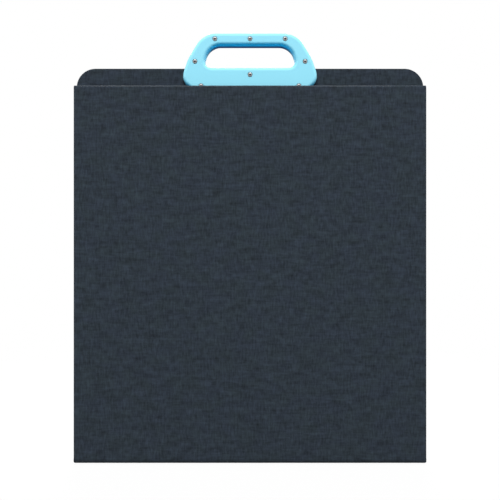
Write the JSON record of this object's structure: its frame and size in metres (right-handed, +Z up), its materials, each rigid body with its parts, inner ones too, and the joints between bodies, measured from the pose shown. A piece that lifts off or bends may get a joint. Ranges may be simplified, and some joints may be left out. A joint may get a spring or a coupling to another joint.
{
  "type": "folding solar suitcase",
  "caption": "Folded portable solar panel: cloth-covered leaves that unfold into a strip, with a moulded carry handle, rear stands and a cable pocket.",
  "frame": {"origin": "under the middle of the folded case's box, on the surface that it stands on", "axes": "+Z up towards the carry handle, +X to the right as the plain front cover is seen, +Y from the front cover towards the stands"},
  "size_m": [0.59, 0.0504, 0.7232],
  "materials": {
    "cover_cloth": "woven polyester, matt, blue-black",
    "leaf_board": "glass-fibre board, plain",
    "magnet_steel": "nickel plated",
    "black_backsheet": "matt black film",
    "solar_cell": "dark blue-black silicon under film",
    "clear_front_sheet": "clear finely textured film",
    "handle_plastic": "light blue moulding, satin",
    "bright_steel": "bright zinc",
    "hook_and_loop": "black hook-and-loop",
    "webbing": "black ribbed tape",
    "stud_metal": "black lacquered press stud",
    "black_plastic": "fine grained black moulding",
    "seal_rubber": "black rubber"
  },
  "bodies": {
    "rear_leaf": {"rear_leaf_back_cover": "cover_cloth", "rear_leaf_board": "leaf_board", "rear_leaf_magnets": "magnet_steel", "rear_leaf_backsheet": "black_backsheet", "rear_leaf_cells": "solar_cell", "rear_leaf_clear_sheet": "clear_front_sheet", "rear_leaf_face_cover": "cover_cloth", "rear_bottom_fold": "cover_cloth", "handle_front_shell": "handle_plastic", "handle_rear_shell": "handle_plastic", "handle_screws": "bright_steel", "lower_stand_loop_pad": "hook_and_loop", "lower_stand_hinge_tape": "webbing", "upper_stand_loop_pad": "hook_and_loop", "upper_stand_hinge_tape": "webbing", "pocket_body": "cover_cloth", "pocket_stud_sockets": "stud_metal", "junction_box_tray": "black_plastic", "junction_box_seal": "seal_rubber", "junction_box_lid": "black_plastic", "cable_gland": "seal_rubber"},
    "second_leaf": {"second_leaf_back_cover": "cover_cloth", "second_leaf_board": "leaf_board", "second_leaf_magnets": "magnet_steel", "second_leaf_backsheet": "black_backsheet", "second_leaf_cells": "solar_cell", "second_leaf_clear_sheet": "clear_front_sheet", "second_leaf_face_cover": "cover_cloth", "top_fold": "cover_cloth"},
    "third_leaf": {"third_leaf_back_cover": "cover_cloth", "third_leaf_board": "leaf_board", "third_leaf_magnets": "magnet_steel", "third_leaf_backsheet": "black_backsheet", "third_leaf_cells": "solar_cell", "third_leaf_clear_sheet": "clear_front_sheet", "third_leaf_face_cover": "cover_cloth", "front_bottom_fold": "cover_cloth"},
    "front_leaf": {"front_leaf_back_cover": "cover_cloth", "front_leaf_board": "leaf_board", "front_leaf_magnets": "magnet_steel", "front_leaf_backsheet": "black_backsheet", "front_leaf_cells": "solar_cell", "front_leaf_clear_sheet": "clear_front_sheet", "front_leaf_face_cover": "cover_cloth"},
    "lower_stand": {"lower_stand_cover": "cover_cloth", "lower_stand_board": "leaf_board", "lower_stand_hook_pad": "hook_and_loop"},
    "upper_stand": {"upper_stand_cover": "cover_cloth", "upper_stand_board": "leaf_board", "upper_stand_hook_pad": "hook_and_loop"},
    "pocket_flap": {"pocket_flap": "cover_cloth", "pocket_stud_caps": "stud_metal"}
  },
  "joints": [
    {"name": "rear_fold_turn", "type": "hinge", "parent": "rear_leaf", "child": "second_leaf", "pos_m": [0, -0.0002, 0.002], "axis": [1, 0, 0], "range_deg": [0, 180], "deforming": ["rear_bottom_fold"]},
    {"name": "top_fold_turn", "type": "hinge", "parent": "second_leaf", "child": "third_leaf", "pos_m": [0, -0.0088, 0.614], "axis": [-1, 0, 0], "range_deg": [0, 180], "deforming": ["top_fold"]},
    {"name": "front_fold_turn", "type": "hinge", "parent": "third_leaf", "child": "front_leaf", "pos_m": [0, -0.0174, 0.002], "axis": [1, 0, 0], "range_deg": [0, 180], "deforming": ["front_bottom_fold"]},
    {"name": "lower_stand_hinge", "type": "hinge", "parent": "rear_leaf", "child": "lower_stand", "pos_m": [0.246, 0.0117, 0.128], "axis": [0, 0, -1], "range_deg": [0, 50], "deforming": ["lower_stand_hinge_tape"]},
    {"name": "upper_stand_hinge", "type": "hinge", "parent": "rear_leaf", "child": "upper_stand", "pos_m": [0.246, 0.0117, 0.512], "axis": [0, 0, -1], "range_deg": [0, 50], "deforming": ["upper_stand_hinge_tape"]},
    {"name": "pocket_flap_hinge", "type": "hinge", "parent": "rear_leaf", "child": "pocket_flap", "pos_m": [0, 0.0085, 0.4], "axis": [1, 0, 0], "range_deg": [0, 90]}
  ],
  "couplings": [
    {"joint": "top_fold_turn", "follows": "rear_fold_turn", "ratio": 1}
  ]
}
